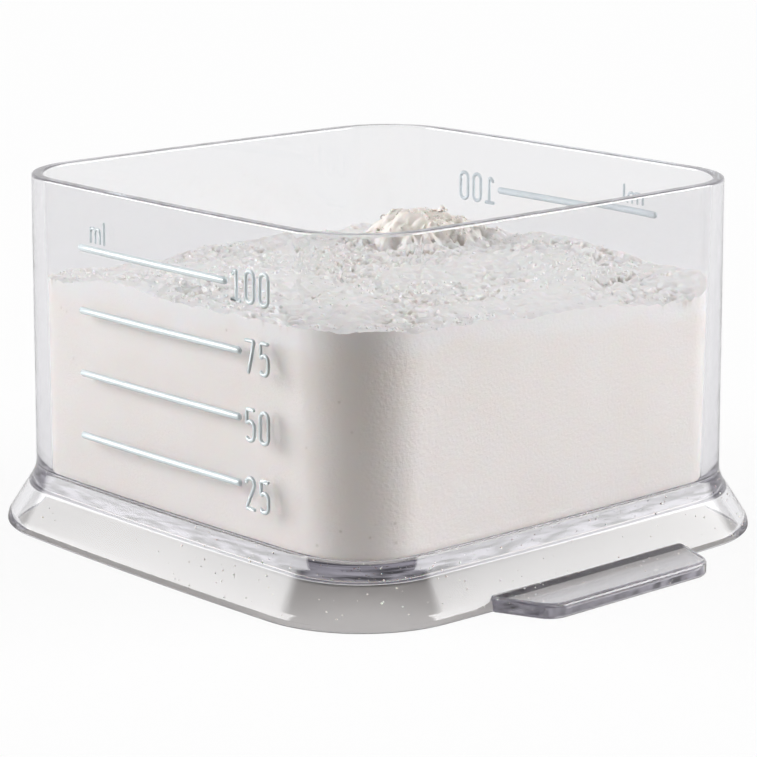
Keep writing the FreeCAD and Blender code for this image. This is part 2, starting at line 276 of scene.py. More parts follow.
# %% [markdown]
# The scale's lines and figures are beads of the same plastic standing on the wall. A bead bends
# light so strongly that it no longer looks clear: it shows as a pale blue-grey stroke with a
# bright edge. Clear beads half a millimetre thick would break up into sparkle, so a glossy
# plastic of that tone stands in for them.


# %% Raised mark plastic
def make_mark_plastic():
    material, tree, shader, output = new_material("raised mark plastic")
    set_values(shader, {"Base Color": (0.66, 0.73, 0.76, 1), "IOR": 1.56,
                        "Specular IOR Level": 0.9})
    surface = add_node(tree, "ShaderNodeGroup", {"node_tree": moulded_surface},
                       {"Ripple Strength": 0.03, "Smoothness": 0.12, "Wear": 0.05})
    join(tree, surface, "Normal", shader, "Normal")
    join(tree, surface, "Roughness", shader, "Roughness")
    return material


mark_plastic = make_mark_plastic()
print("mark material:", mark_plastic.name)

# %% [markdown]
# Milk powder is a bed of soft, off-white grains. Seen close, it has three scales: a slow change
# of tone where it is packed more or less tightly, fine grain, and a few toasted specks. The
# group gives a colour and a height for them, so the load, its crumbs and the dust share it.


# %% The powder grain group
SPECK_RARITY = 0.93         # share of the grain cells that have no toasted speck


def make_powder_grain():
    group = bpy.data.node_groups.new("powder grain", "ShaderNodeTree")
    face = group.interface
    for name, start in (("Pale", (0.90, 0.88, 0.85, 1)), ("Deep", (0.84, 0.81, 0.77, 1)),
                        ("Speck", (0.55, 0.48, 0.40, 1))):
        socket = face.new_socket(name=name, in_out="INPUT", socket_type="NodeSocketColor")
        socket.default_value = start
    speck_share = face.new_socket(name="Speck Share", in_out="INPUT",
                                  socket_type="NodeSocketFloat")
    speck_share.default_value = 0.3
    face.new_socket(name="Color", in_out="OUTPUT", socket_type="NodeSocketColor")
    face.new_socket(name="Height", in_out="OUTPUT", socket_type="NodeSocketFloat")
    given = add_node(group, "NodeGroupInput")
    result = add_node(group, "NodeGroupOutput")
    place = add_node(group, "ShaderNodeTexCoord")
    cloud = add_node(group, "ShaderNodeTexNoise", values={"Scale": 130.0, "Detail": 3.0})
    join(group, place, "Object", cloud, "Vector")
    share = add_node(group, "ShaderNodeMapRange", values={"From Min": 0.35, "From Max": 0.65})
    join(group, cloud, "Fac", share, "Value")
    tone = add_node(group, "ShaderNodeMix", {"data_type": "RGBA"})
    join(group, share, "Result", tone, 0)
    join(group, given, "Deep", tone, 6)
    join(group, given, "Pale", tone, 7)
    cells = add_node(group, "ShaderNodeTexVoronoi", values={"Scale": 900.0})
    join(group, place, "Object", cells, "Vector")
    near = add_node(group, "ShaderNodeMapRange",
                    values={"From Min": 0.10, "From Max": 0.22, "To Min": 1.0, "To Max": 0.0})
    join(group, cells, "Distance", near, "Value")
    chance = add_node(group, "ShaderNodeSeparateColor")
    join(group, cells, "Color", chance, "Color")
    rare = add_math(group, "GREATER_THAN", chance.outputs["Red"], SPECK_RARITY)
    spot = add_math(group, "MULTIPLY", near.outputs["Result"], rare)
    weak = add_math(group, "MULTIPLY", spot, given.outputs["Speck Share"])
    specked = add_node(group, "ShaderNodeMix", {"data_type": "RGBA"})
    group.links.new(weak, specked.inputs[0])
    join(group, tone, 2, specked, 6)
    join(group, given, "Speck", specked, 7)
    join(group, specked, 2, result, "Color")
    fine = add_node(group, "ShaderNodeTexNoise", values={"Scale": 2600.0, "Detail": 3.0})
    join(group, place, "Object", fine, "Vector")
    join(group, fine, "Fac", result, "Height")
    return group


powder_grain = make_powder_grain()
print("shared group:", powder_grain.name)

# %% [markdown]
# Two things about the powder depend on the place and not on the grain: it is whiter where it
# lies loose, and it is painted in shade down in the pits and a little over the mound. Both
# could be painted by hand. Here the mesh carries them as attributes, written where its shape is
# worked out, and the material reads them.


# %% Powder materials
# Painted shade, laid over the powder where the attribute "pit" is high: in the pits and cracks,
# and a little over the mound.
PAINTED_PIT_SHADE = (0.60, 0.55, 0.47, 1)


def make_powder_material(name, pale, deep, bright, speck_share, bump_strength):
    """bright is the tone where the attribute "dusty" is 1; where "pit" is 1 the painted pit shade
    covers it.
    """
    material, tree, shader, output = new_material(name)
    set_values(shader, {"Roughness": 1.0, "Specular IOR Level": 0.1,
                        "Subsurface Weight": 0.15, "Subsurface Scale": 0.0006})
    grain = add_node(tree, "ShaderNodeGroup", {"node_tree": powder_grain},
                     {"Pale": pale, "Deep": deep, "Speck Share": speck_share})
    dusty = add_node(tree, "ShaderNodeAttribute", {"attribute_name": "dusty"})
    tone = add_node(tree, "ShaderNodeMix", {"data_type": "RGBA"}, {7: bright})
    join(tree, dusty, "Fac", tone, 0)
    tree.links.new(grain.outputs["Color"], tone.inputs[6])
    # Painted shade in the pits and over the mound, read from the attribute "pit".
    pit = add_node(tree, "ShaderNodeAttribute", {"attribute_name": "pit"})
    shaded = add_node(tree, "ShaderNodeMix", {"data_type": "RGBA"}, {7: PAINTED_PIT_SHADE})
    join(tree, pit, "Fac", shaded, 0)
    tree.links.new(tone.outputs[2], shaded.inputs[6])
    tree.links.new(shaded.outputs[2], shader.inputs["Base Color"])
    bump = add_node(tree, "ShaderNodeBump", values={"Distance": 0.0001, "Strength": bump_strength})
    join(tree, grain, "Height", bump, "Height")
    join(tree, bump, "Normal", shader, "Normal")
    return material


packed_powder = make_powder_material("packed powder", (0.95, 0.905, 0.86, 1),
                                     (0.93, 0.875, 0.82, 1), (0.96, 0.945, 0.925, 1), 0.4, 0.5)
print("powder material:", packed_powder.name)

# %% [markdown]
# The cup's sizes, from the CAD source. Everything on it is measured from the rim's outline: a
# square with rounded corners and slightly bowed sides. An offset outwards is positive.

# %% Sizes of the cup
HALF_WIDTH = 31.4 * MM
CORNER_RADIUS = 10.0 * MM
SIDE_BOW_RADIUS = 650.0 * MM
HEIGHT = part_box("cup")[1].z
LEAN = math.tan(math.radians(0.51))
RIM_WALL = 1.35 * MM
RIM_ROUND = 0.30 * MM
FLOOR_TOP = 5.6 * MM
FLOOR_UNDERSIDE = 4.3 * MM
FLOOR_FILLET = 1.2 * MM
SKIRT_TOP = 7.6 * MM
SKIRT_REACH = 3.5 * MM
SKIRT_WALL = 1.35 * MM
SKIRT_HOLLOW_BLEND = 4.0 * MM
SKIRT_CROWN_BLEND = 2.0 * MM
SKIRT_SLOPE = math.radians(32.8)
FOOT_ROUND = 0.40 * MM
CEILING_FILLET = 1.0 * MM

side_centre = SIDE_BOW_RADIUS - HALF_WIDTH
inner_radius = SIDE_BOW_RADIUS - CORNER_RADIUS
corner_centre = (math.sqrt(2 * inner_radius ** 2 - side_centre ** 2) - side_centre) / 2
side_half_angle = math.asin(corner_centre / inner_radius)
corner_sweep = math.pi / 2 - 2 * side_half_angle


def outer_face(z):
    return (HEIGHT - z) * LEAN


def inner_face(z):
    return -RIM_WALL - (HEIGHT - z) * LEAN


skirt_edge = outer_face(SKIRT_TOP) + SKIRT_REACH
print("skirt edge stands out", round(skirt_edge / MM, 2), "mm")


# %% [markdown]
# The outline is four wide side arcs and four corner arcs, all tangent. One function walks along
# it and gives a point at any offset, so the cup, the powder and the dust all agree.


# %% Walk along the outline
def outline_quarter(offset, side_steps, corner_steps):
    """Points of the front side (-Y) and of the corner after it, turning towards +X."""
    points = []
    for step in range(side_steps):
        angle = -side_half_angle + 2 * side_half_angle * step / side_steps
        radius = SIDE_BOW_RADIUS + offset
        points.append((radius * math.sin(angle), side_centre - radius * math.cos(angle)))
    for step in range(corner_steps):
        angle = -math.pi / 2 + side_half_angle + corner_sweep * step / corner_steps
        radius = CORNER_RADIUS + offset
        points.append((corner_centre + radius * math.cos(angle),
                       -corner_centre + radius * math.sin(angle)))
    return points


def outline(offset, side_steps, corner_steps):
    """The whole closed outline, counter-clockwise seen from above."""
    points = []
    quarter = outline_quarter(offset, side_steps, corner_steps)
    for turn in range(4):
        cosine, sine = ((1, 0), (0, 1), (-1, 0), (0, -1))[turn]
        for x, y in quarter:
            points.append((x * cosine - y * sine, x * sine + y * cosine))
    return points


print("outline's length", round(sum(math.dist(a, b) for a, b in zip(
    outline(0, 20, 20), outline(0, 20, 20)[1:])) / MM), "mm")

# %% [markdown]
# The cup is one moulding, and its shape follows a rule: one section, carried round one outline.
# It could be lathed corner by corner or modelled with loops by hand. Here Geometry Nodes sweep
# the section, because a section with a rounding at each of its corners is exactly what a
# moulder's drawing shows, and any size can then change on its own. The section's points carry
# their rounding in the curve's radius, and a Fillet Curve node rounds them.


# %% Helpers for curves and meshes
def add_object(name, data):
    """New object in the scene for a mesh or a curve."""
    made = bpy.data.objects.new(name, data)
    scene.collection.objects.link(made)
    return made


def mesh_from(work, name):
    """Mesh with what a bmesh holds; the bmesh is freed."""
    mesh = bpy.data.meshes.new(name)
    work.to_mesh(mesh)
    work.free()
    return mesh


def finished_mesh(piece, name):
    """Plain mesh of what a piece's modifiers make of it."""
    bpy.context.view_layer.update()
    graph = bpy.context.evaluated_depsgraph_get()
    mesh = bpy.data.meshes.new_from_object(piece.evaluated_get(graph), depsgraph=graph)
    mesh.name = name
    return mesh


def make_curve(name, strokes, closed=False):
    """Curve object with one poly spline per stroke; each point is (x, y, z, radius)."""
    data = bpy.data.curves.new(name, "CURVE")
    data.dimensions = "3D"
    for stroke in strokes:
        spline = data.splines.new("POLY")
        spline.points.add(len(stroke) - 1)
        for point, (x, y, z, radius) in zip(spline.points, stroke):
            point.co = (x, y, z, 1)
            point.radius = radius
        spline.use_cyclic_u = closed
    return add_object(name, data)


def set_input(modifier, tree, name, value):
    """A modifier's input is set by its socket's identifier."""
    for item in tree.interface.items_tree:
        if item.item_type == "SOCKET" and item.in_out == "INPUT" and item.name == name:
            modifier[item.identifier] = value


def grow(source, tree, name, values):
    """Run a Geometry Nodes tree on source and keep its result as a plain mesh object."""
    modifier = source.modifiers.new("grow", "NODES")
    modifier.node_group = tree
    for key, value in values.items():
        set_input(modifier, tree, key, value)
    made = add_object(name, finished_mesh(source, name))
    bpy.data.objects.remove(source)
    return made


def new_geometry_tree(name, inputs):
    tree = bpy.data.node_groups.new(name, "GeometryNodeTree")
    tree.interface.new_socket(name="Geometry", in_out="INPUT", socket_type="NodeSocketGeometry")
    for label, kind in inputs:
        tree.interface.new_socket(name=label, in_out="INPUT", socket_type="NodeSocket" + kind)
    tree.interface.new_socket(name="Geometry", in_out="OUTPUT", socket_type="NodeSocketGeometry")
    given = add_node(tree, "NodeGroupInput")
    result = add_node(tree, "NodeGroupOutput")
    return tree, given, result


def end_tree(tree, given, result, node, socket):
    """Every tree ends in Realize Instances and Set Material."""
    realize = add_node(tree, "GeometryNodeRealizeInstances")
    paint = add_node(tree, "GeometryNodeSetMaterial")
    join(tree, node, socket, realize, "Geometry")
    join(tree, realize, "Geometry", paint, "Geometry")
    join(tree, given, "Material", paint, "Material")
    join(tree, paint, "Geometry", result, "Geometry")


# %% The sweeping tree
def make_sweep_tree():
    tree, given, result = new_geometry_tree(
        "section round outline",
        (("Section", "Object"), ("Rounding Steps", "Int"), ("Material", "Material")))
    upright = add_node(tree, "GeometryNodeSetCurveNormal", {"mode": "Z_UP"})
    section = add_node(tree, "GeometryNodeObjectInfo")
    rounding = add_node(tree, "GeometryNodeInputRadius")
    rounded = add_node(tree, "GeometryNodeFilletCurve", {"mode": "POLY"})
    sweep = add_node(tree, "GeometryNodeCurveToMesh")
    join(tree, given, "Geometry", upright, "Curve")
    join(tree, upright, "Curve", sweep, "Curve")
    join(tree, given, "Section", section, "Object")
    join(tree, section, "Geometry", rounded, "Curve")
    join(tree, rounding, "Radius", rounded, "Radius")
    join(tree, given, "Rounding Steps", rounded, "Count")
    join(tree, rounded, "Curve", sweep, "Profile Curve")
    end_tree(tree, given, result, sweep, "Mesh")
    return tree


sweep_tree = make_sweep_tree()
print("tree:", sweep_tree.name, "with", len(sweep_tree.nodes), "nodes")

# %% [markdown]
# The section starts on the inside floor, climbs the inner face, goes over the rim, comes down
# the outer face, flares into the skirt, turns under the foot, and ends on the floor's underside.

# %% Sweep the cup
FLAT_MARGIN = 3.0 * MM      # flat stretch of floor and of ceiling that the section carries
crown_reach = SKIRT_CROWN_BLEND * math.tan(SKIRT_SLOPE / 2)
hollow_reach = SKIRT_HOLLOW_BLEND * math.tan(SKIRT_SLOPE / 2)
inner_crown = SKIRT_CROWN_BLEND - SKIRT_WALL
inner_crown_z = FOOT_ROUND + inner_crown * math.tan(SKIRT_SLOPE / 2)
inner_edge = skirt_edge - SKIRT_WALL
ceiling_corner = inner_edge - (FLOOR_UNDERSIDE - inner_crown_z) * math.tan(SKIRT_SLOPE)
floor_corner = inner_face(FLOOR_TOP)
cup_section = (
    (floor_corner - FLAT_MARGIN, FLOOR_TOP, 0),
    (floor_corner, FLOOR_TOP, FLOOR_FILLET),
    (inner_face(HEIGHT), HEIGHT, RIM_ROUND),
    (0, HEIGHT, RIM_ROUND),
    (outer_face(SKIRT_TOP), SKIRT_TOP - hollow_reach, SKIRT_HOLLOW_BLEND),
    (skirt_edge, FOOT_ROUND + crown_reach, SKIRT_CROWN_BLEND),
    (skirt_edge, 0, FOOT_ROUND),
    (inner_edge, 0, 0.05 * MM),
    (inner_edge, inner_crown_z, inner_crown),
    (ceiling_corner, FLOOR_UNDERSIDE, CEILING_FILLET),
    (ceiling_corner - FLAT_MARGIN, FLOOR_UNDERSIDE, 0),
)
SIDE_STEPS = 24
CORNER_STEPS = 40
ROUNDING_STEPS = 8


def sweep_cup():
    path = [(x, y, 0, 1) for x, y in outline(0, SIDE_STEPS, CORNER_STEPS)]
    route = make_curve("cup outline", [path], closed=True)
    section = make_curve("cup section", [[(offset, -z, 0, r) for offset, z, r in cup_section]])
    made = grow(route, sweep_tree, "swept section",
                {"Section": section, "Rounding Steps": ROUNDING_STEPS,
                 "Material": clear_plastic})
    bpy.data.objects.remove(section)
    return made


cup_shell = sweep_cup()
print("swept cup:", len(cup_shell.data.polygons), "faces")

# %% [markdown]
# The sweep leaves two holes, one in the floor's top and one in its underside. Both are flat, so
# each is closed with one face. The pull tab is a flat plate with rounded edges. On the real
# moulding it is one with the skirt, and clear plastic shows every hidden wall inside it, so the
# plate is joined by a Boolean and nothing is left inside. Smooth shading would tilt the normals
# of a long wall at its ends, and a clear wall would then bend the powder behind it like a lens,
# so the normals are weighted by the size of the faces.

# %% Close the floor and join the tab
TAB_REACH = 6.4 * MM
TAB_ROOT_HALF = 15.0 * MM
TAB_TIP_HALF = 12.3 * MM
TAB_CORNER_RADIUS = 3.0 * MM
TAB_THICKNESS = 1.75 * MM
TAB_EDGE_ROUND = 0.45 * MM
TAB_CORNER_STEPS = 12
TAB_EDGE_STEPS = 5
TAB_SINK = 0.8 * MM         # how far the plate reaches into the skirt's wall
MERGE_DISTANCE = 0.0001 * MM
SHARP_ANGLE = math.radians(38)
FLAT_FACE_WEIGHT = 100


def close_holes(piece):
    work = bmesh.new()
    work.from_mesh(piece.data)
    bmesh.ops.remove_doubles(work, verts=work.verts, dist=MERGE_DISTANCE)
    open_edges = [edge for edge in work.edges if edge.is_boundary]
    bmesh.ops.holes_fill(work, edges=open_edges, sides=0)
    bmesh.ops.recalc_face_normals(work, faces=work.faces)
    work.to_mesh(piece.data)
    work.free()


def rounded_corner(corner, before, after, radius, steps):
    """Points of the arc that rounds a plate's corner."""
    corner, before, after = Vector(corner), Vector(before), Vector(after)
    into = (before - corner).normalized()
    out = (after - corner).normalized()
    half = into.angle(out) / 2
    centre = corner + (into + out).normalized() * radius / math.sin(half)
    start = corner + into * radius / math.tan(half) - centre
    end = corner + out * radius / math.tan(half) - centre
    turn = start.angle(end)
    points = []
    for step in range(steps + 1):
        share = step / steps
        points.append(centre + (start * math.sin((1 - share) * turn)
                                + end * math.sin(share * turn)) / math.sin(turn))
    return points


def make_tab_plate():
    """Plate with all its edges rounded but those that end inside the skirt's wall."""
    root_x = HALF_WIDTH + skirt_edge
    back = (root_x - TAB_SINK, TAB_ROOT_HALF)
    front = (root_x - TAB_SINK, -TAB_ROOT_HALF)
    root = (root_x, TAB_ROOT_HALF)
    tip = (root_x + TAB_REACH, TAB_TIP_HALF)
    other_tip = (tip[0], -tip[1])
    other_root = (root_x, -TAB_ROOT_HALF)
    rim = [Vector(front), Vector(other_root)]
    rim += rounded_corner(other_tip, other_root, tip, TAB_CORNER_RADIUS, TAB_CORNER_STEPS)
    rim += rounded_corner(tip, other_tip, root, TAB_CORNER_RADIUS, TAB_CORNER_STEPS)
    rim += [Vector(root), Vector(back)]
    work = bmesh.new()
    face = work.faces.new([work.verts.new((p.x, p.y, 0)) for p in rim])
    raised = bmesh.ops.extrude_face_region(work, geom=[face])["geom"]
    top = [item for item in raised if isinstance(item, bmesh.types.BMVert)]
    bmesh.ops.translate(work, verts=top, vec=(0, 0, TAB_THICKNESS))
    bmesh.ops.recalc_face_normals(work, faces=work.faces)
    rounded = []
    for edge in work.edges:
        start, end = (vert.co for vert in edge.verts)
        level = abs(start.z - end.z) < TAB_THICKNESS / 2
        outside = min(start.x, end.x) > root_x - TAB_SINK / 2
        leads_out = abs(start.x - end.x) > TAB_SINK / 2
        if level and (outside or leads_out):
            rounded.append(edge)
    bmesh.ops.bevel(work, geom=rounded, offset=TAB_EDGE_ROUND, segments=TAB_EDGE_STEPS,
                    profile=0.5, affect="EDGES")
    return add_object("tab plate", mesh_from(work, "tab plate"))


def unite(body, extra, name):
    """Exact Boolean union of two closed solids, as one new plain mesh."""
    modifier = body.modifiers.new("join", "BOOLEAN")
    modifier.operation = "UNION"
    modifier.solver = "EXACT"
    modifier.object = extra
    made = add_object(name, finished_mesh(body, name))
    bpy.data.objects.remove(body)
    bpy.data.objects.remove(extra)
    return made


def smooth_with_sharp_edges(piece, angle):
    piece.data.polygons.foreach_set("use_smooth", [True] * len(piece.data.polygons))
    piece.data.set_sharp_from_angle(angle=angle)


def let_flats_rule(piece):
    """Normals weighted by face size, so a long flat wall isn't bent by its narrow fillet."""
    modifier = piece.modifiers.new("weighted", "WEIGHTED_NORMAL")
    modifier.keep_sharp = True
    modifier.weight = FLAT_FACE_WEIGHT
    mesh = finished_mesh(piece, piece.name)
    piece.modifiers.clear()
    piece.data = mesh


def open_edge_count(piece):
    work = bmesh.new()
    work.from_mesh(piece.data)
    count = sum(1 for edge in work.edges if not edge.is_manifold)
    work.free()
    return count


close_holes(cup_shell)
cup = unite(cup_shell, make_tab_plate(), "cup_moulding")
cup.data.materials.clear()
cup.data.materials.append(clear_plastic)
smooth_with_sharp_edges(cup, SHARP_ANGLE)
let_flats_rule(cup)
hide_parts("cup")
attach(cup, "compartment")
print("cup:", len(cup.data.polygons), "faces, open edges:", open_edge_count(cup))

# %% [markdown]
# The scale. Each line, figure and letter is a round bead that follows a stroke on the wall. The
# CAD nodes give each mark's place. Geometry Nodes carry a round section along the strokes,
# because a bead along a path is one rule for all eighteen marks: the tree rounds a stroke's
# bends, and the point radius tapers its ends to domes.


# %% The bead tree
def make_bead_tree():
    tree, given, result = new_geometry_tree(
        "bead along stroke",
        (("Bead Radius", "Float"), ("Sides", "Int"), ("Bend Rounding", "Float"),
         ("Material", "Material")))
    size = add_node(tree, "GeometryNodeInputRadius")
    rounded = add_node(tree, "GeometryNodeFilletCurve", {"mode": "POLY"},
                       {"Count": 4, "Limit Radius": True})
    ring = add_node(tree, "GeometryNodeCurvePrimitiveCircle")
    scaled = add_node(tree, "ShaderNodeMath", {"operation": "MULTIPLY"})
    sweep = add_node(tree, "GeometryNodeCurveToMesh", values={"Fill Caps": True})
    smooth = add_node(tree, "GeometryNodeSetShadeSmooth")
    join(tree, given, "Geometry", rounded, "Curve")
    join(tree, given, "Bend Rounding", rounded, "Radius")
    join(tree, size, "Radius", scaled, 0)
    join(tree, given, "Bead Radius", scaled, 1)
    join(tree, scaled, "Value", sweep, "Scale")
    join(tree, given, "Sides", ring, "Resolution")
    join(tree, rounded, "Curve", sweep, "Curve")
    join(tree, ring, "Curve", sweep, "Profile Curve")
    join(tree, sweep, "Mesh", smooth, "Geometry")
    end_tree(tree, given, result, smooth, "Geometry")
    return tree


bead_tree = make_bead_tree()
print("tree:", bead_tree.name, "with", len(bead_tree.nodes), "nodes")

# %% [markdown]
# The figures are drawn like a draughtsman's: each is one or two strokes of straight runs and
# arcs, written in a box as wide and as high as the figure, with y = 0 at its foot. Only plain
# volume figures and the letters ml stand on the cup.

# %% Strokes of the figures
FIGURE_HEIGHT = 3.80 * MM
FIGURE_WIDTH = 1.72 * MM
FIGURE_PITCH = 2.25 * MM
FIGURE_BEAD = 0.22 * MM
FIGURE_SINK = 0.02 * MM
UNIT_BEAD = 0.17 * MM
LINE_BEAD = 0.42 * MM
LINE_SINK = 0.12 * MM
LINE_STEPS = 12             # a line follows the wall's slight bow
FIGURE_BEND = 0.18 * MM
UNIT_BEND = 0.10 * MM
LINE_SIDES = 20
FIGURE_SIDES = 14
UNIT_SIDES = 12


def arc_points(centre_x, centre_y, radius, start, end, steps=8):
    points = []
    for step in range(steps + 1):
        angle = math.radians(start + (end - start) * step / steps)
        points.append((centre_x + radius * math.cos(angle), centre_y + radius * math.sin(angle)))
    return points


def figure_strokes(figure):
    half = FIGURE_WIDTH / 2 - FIGURE_BEAD
    top = FIGURE_HEIGHT - 2 * FIGURE_BEAD
    if figure == "0":
        ring = arc_points(0, top - half, half, 0, 180) + arc_points(0, half, half, 180, 360)
        return [ring + ring[:2]]
    if figure == "1":
        return [[(-0.8 * half, 0.82 * top), (0.15 * half, top), (0.15 * half, 0)],
                [(-half, 0), (half, 0)]]
    if figure == "2":
        return [arc_points(0, top - half, half, 165, -30) + [(-half, 0), (half, 0)]]
    if figure == "5":
        bowl = arc_points(0, 0.62 * top - half, half, 150, 0) + arc_points(0, half, half, 0, -140)
        return [[(0.8 * half, top), (bowl[0][0], top)] + bowl]
    return [[(-half, top), (half, top), (-0.35 * half, 0)]]


def unit_strokes(width, height):
    """The letters m and l in a box of this size; the l is the tall one."""
    inner = width - 2 * UNIT_BEAD
    m_half = inner * 0.35
    m_top = height * 0.7 - 2 * UNIT_BEAD
    arch = m_half / 2
    left = -inner / 2
    strokes = [[(left, 0), (left, m_top)]]
    for middle in (left + arch, left + 3 * arch):
        strokes.append(arc_points(middle, m_top - arch, arch, 180, 0) + [(middle + arch, 0)])
    strokes.append([(inner / 2, 0), (inner / 2, height - 2 * UNIT_BEAD)])
    return strokes


def on_face(x, z, sink):
    """Point on the front wall's outer face, sunk a little below it."""
    angle = x / SIDE_BOW_RADIUS
    radius = SIDE_BOW_RADIUS + outer_face(z) - sink
    return Vector((radius * math.sin(angle), side_centre - radius * math.cos(angle), z))


def domed(points, radius):
    """Points with their radius as a share; both ends run out in a round dome."""
    first = (points[0] - points[1]).normalized() * radius
    last = (points[-1] - points[-2]).normalized() * radius
    shares = [math.radians(angle) for angle in (4, 30, 60)]
    rows = [(*(points[0] + first * math.cos(a)), math.sin(a)) for a in shares]
    rows += [(*point, 1.0) for point in points]
    rows += [(*(points[-1] + last * math.cos(a)), math.sin(a)) for a in reversed(shares)]
    return rows


def make_mark(node, strokes, radius, sink, sides, bend):
    """Mark on the front face, or turned half round onto the back face."""
    rows = []
    for stroke in strokes:
        placed = [on_face(x, z, sink) for x, z in stroke]
        rows.append(domed(placed, radius))
    curve = make_curve("strokes", rows)
    if node.endswith("_back"):
        curve.data.transform(Matrix.Rotation(math.pi, 4, "Z"))
    mark = grow(curve, bead_tree, node + "_bead",
                {"Bead Radius": radius, "Sides": sides, "Bend Rounding": bend,
                 "Material": mark_plastic})
    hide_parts(node)
    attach(mark, "compartment")


def front_box(node):
    """A mark's lowest and highest corners as if it stood on the front face."""
    low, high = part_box(node)
    if node.endswith("_back"):
        return Vector((-high.x, -high.y, low.z)), Vector((-low.x, -low.y, high.z))
    return low, high


# %% Make the eighteen marks
def make_scale(side):
    for level in ("25", "50", "75", "100"):
        low, high = front_box("line_" + level + side)
        z = (low.z + high.z) / 2
        ends = (low.x + LINE_BEAD, high.x - LINE_BEAD)
        run = [(ends[0] + (ends[1] - ends[0]) * step / LINE_STEPS, z)
               for step in range(LINE_STEPS + 1)]
        make_mark("line_" + level + side, [run], LINE_BEAD, LINE_SINK, LINE_SIDES, 0.0)
        low, high = front_box("number_" + level + side)
        strokes = []
        for place, figure in enumerate(reversed(level)):
            middle = high.x - FIGURE_WIDTH / 2 - place * FIGURE_PITCH
            for stroke in figure_strokes(figure):
                strokes.append([(middle + x, low.z + FIGURE_BEAD + y) for x, y in stroke])
        make_mark("number_" + level + side, strokes, FIGURE_BEAD, FIGURE_SINK, FIGURE_SIDES,
                  FIGURE_BEND)
    low, high = front_box("unit_ml" + side)
    strokes = []
    for stroke in unit_strokes(high.x - low.x, high.z - low.z):
        middle = (low.x + high.x) / 2
        strokes.append([(middle + x, low.z + UNIT_BEAD + y) for x, y in stroke])
    make_mark("unit_ml" + side, strokes, UNIT_BEAD, FIGURE_SINK, UNIT_SIDES, UNIT_BEND)


for side in ("_front", "_back"):
    make_scale(side)

# %% [markdown]
# The powder. Against the walls it is pressed smooth, and its top is broken: it slopes down from
# the near corner, a last scoop left a mound at the back, and the surface is cracked into soft
# clumps. It could be sculpted, or a sheet could be pushed about by displacement. Here the load
# is one closed mesh whose top is worked out point by point, so that every feature has a name
# and a size: a slow slope, the mound, rounded lumps, pits, fine cracks and grain.

# %% Shape of the powder's top
POWDER_GAP = 0.20 * MM           # from the wall's inner face
POWDER_BASE = FLOOR_TOP + 0.05 * MM
TOP_CELLS = 236
SIDE_ROWS = 26
BORDER_HEIGHT = 29.5 * MM        # where the outline of the top is taken
# Where the top meets the walls and a few places inside: (x, y, height) in millimetres.
SLOPE_POINTS = ((28, -28, 31.0), (14, -30, 30.8), (0, -30, 30.7), (-10, -30, 31.2),
                (-22, -30, 29.8), (-30, -26, 28.2), (-30, -12, 27.7), (-30, 4, 28.0),
                (-30, 18, 28.2), (-28, 28, 28.5), (-10, 30, 28.8), (0, 30, 30.0),
                (10, 30, 29.5), (18, 30, 29.1), (26, 29, 29.6), (30, 20, 28.3),
                (30, 0, 29.7), (30, -18, 30.5), (0, 0, 29.4), (-8, 8, 29.2), (10, 10, 29.0))
SLOPE_SOFTNESS = 6.0             # square millimetres; rounds the slope over at each point
SLOPE_FALLOFF = 1.6
MOUND_X = -13 * MM
MOUND_Y = 19 * MM
MOUND_HEIGHT = 3.9 * MM
NOISE_SEED = 1                   # vector noise starts from the clock without one
MOUND_LEFT, MOUND_RIGHT = 11.0 * MM, 10.5 * MM
MOUND_FRONT, MOUND_BACK = 7.5 * MM, 11.0 * MM
MOUND_CROWN = 0.25               # share of its reach that stays nearly level
LOOSE_FROM, LOOSE_FULL = 0.15 * MM, 1.6 * MM     # heights of the mound
LUMPS = ((300, 1.0 * MM), (640, 0.5 * MM))       # how many to the metre, and how high
LUMP_GAP = 0.35                  # depth of the gaps between lumps, as a share of their height
PITS = ((400, 1.1 * MM, 0.30), (720, 0.75 * MM, 0.42))   # to the metre, depth, share with one
CRACK_DEPTH = 0.30 * MM
SWELL = 0.50 * MM                # slow rise and fall of the whole top
GRAIN = 0.24 * MM
EDGE_CRUMBLE = 0.5 * MM          # extra unevenness along the wall
EDGE_CALM = 0.6                  # how much of the rest dies away right at the wall


noise.seed_set(NOISE_SEED)


def slope_height(x, y):
    """Smooth height that passes near every slope point."""
    total = 0.0
    weights = 0.0
    for px, py, height in SLOPE_POINTS:
        gap = (x / MM - px) ** 2 + (y / MM - py) ** 2 + SLOPE_SOFTNESS
        weight = 1.0 / gap ** SLOPE_FALLOFF
        total += weight * height
        weights += weight
    return total / weights * MM


def smooth_step(low, high, value):
    share = min(max((value - low) / (high - low), 0.0), 1.0)
    return share * share * (3 - 2 * share)


def chance(point):
    """A number from 0 to 1 that is always the same for the same point."""
    return math.sin(point.x * 12.9898 + point.y * 78.233 + point.z * 37.719) * 43758.5453 % 1.0


def mound_height(x, y):
    """A heap that is steepest towards the front, with an uneven foot."""
    dx = x - MOUND_X
    dy = y - MOUND_Y
    reach_x = MOUND_RIGHT if dx > 0 else MOUND_LEFT
    reach_y = MOUND_FRONT if dy < 0 else MOUND_BACK
    wobble = 1 + 0.30 * noise.noise(Vector((dx, dy, 0.0)) * 330)
    distance = math.hypot(dx / reach_x, dy / reach_y) * wobble
    return MOUND_HEIGHT * (1 - smooth_step(MOUND_CROWN, 1.0, distance))


def lump_height(here, loose):
    """Rounded lumps with deep gaps between them, where the powder has been dug over."""
    total = 0.0
    for scale, height in LUMPS:
        spot = here * scale + noise.noise_vector(here * 500) * 0.5
        near, far = noise.voronoi(spot)[0][:2]
        total += height * (math.sqrt(max(0.0, 1 - near)) - 0.62)
        total -= LUMP_GAP * height * (1 - smooth_step(0.0, 0.22, far - near))
    return total * loose


